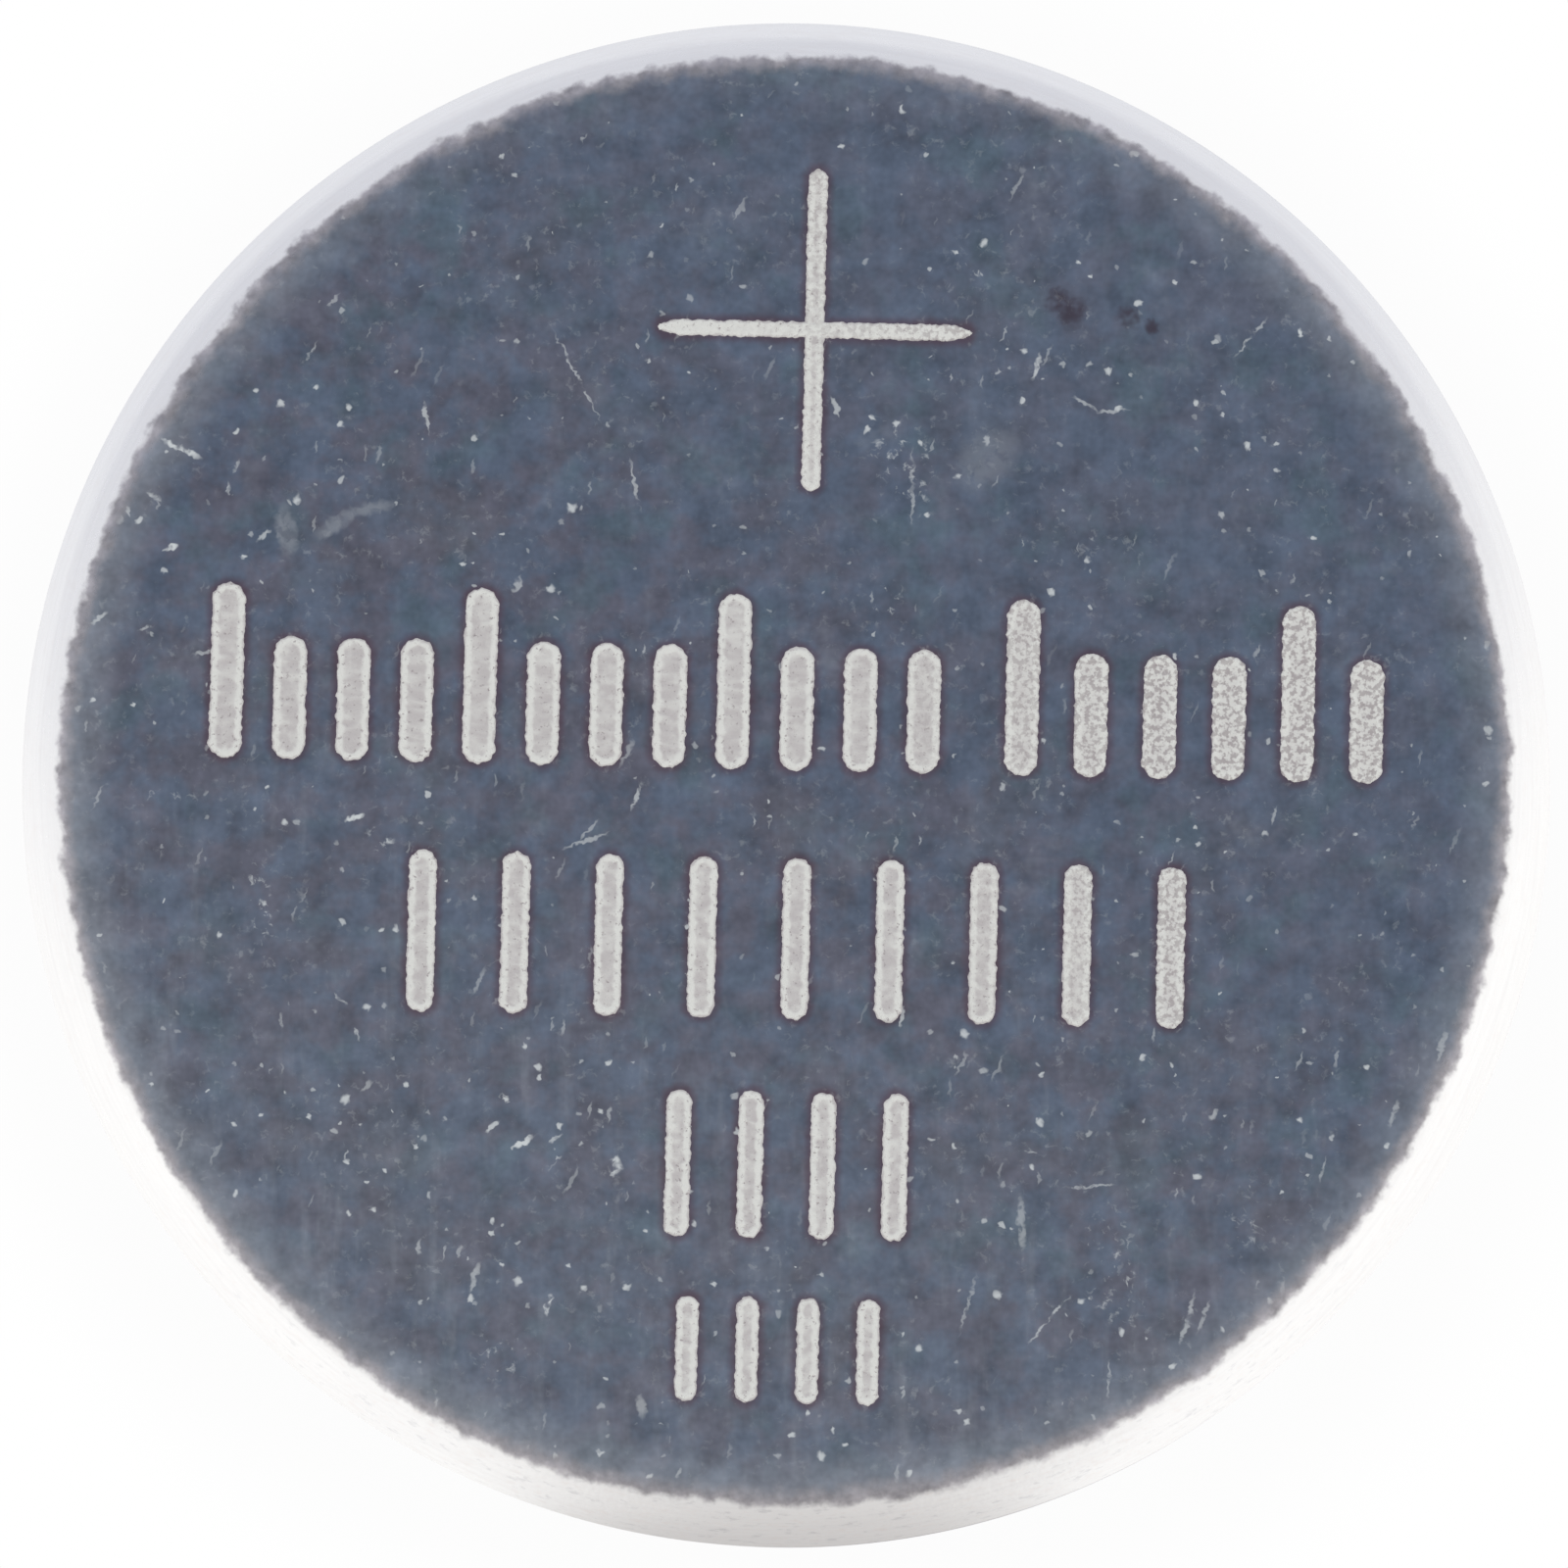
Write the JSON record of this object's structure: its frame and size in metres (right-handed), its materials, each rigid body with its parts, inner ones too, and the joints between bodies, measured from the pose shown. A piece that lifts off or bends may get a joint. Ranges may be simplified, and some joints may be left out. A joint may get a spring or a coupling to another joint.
{
  "type": "lithium coin cell",
  "caption": "Round lithium coin cell with a flat positive face, a crimped steel can and a stepped negative cap.",
  "frame": {"origin": "centre of the negative cap's contact face, on the surface that the cell lies on", "axes": "+Z along the cell's axis, from the negative contact face to the positive one; X and Y along its diameter"},
  "size_m": [0.0116, 0.0116, 0.003],
  "materials": {
    "can_steel": "bright nickel-plated stainless sheet, satin, with fine scratches",
    "cap_steel": "bright stainless sheet, satin",
    "gasket_plastic": "milky moulded polypropylene",
    "pellet_oxide": "pressed manganese dioxide with carbon, matte",
    "collector_steel": "thin stainless sheet, satin",
    "separator_fleece": "white nonwoven polypropylene fleece",
    "lithium_metal": "soft grey lithium metal"
  },
  "bodies": {
    "root": {"positive_can": "can_steel", "negative_cap": "cap_steel", "sealing_gasket": "gasket_plastic", "cathode_pellet": "pellet_oxide", "cathode_collector": "collector_steel", "separator": "separator_fleece", "lithium_anode": "lithium_metal"}
  },
  "joints": []
}
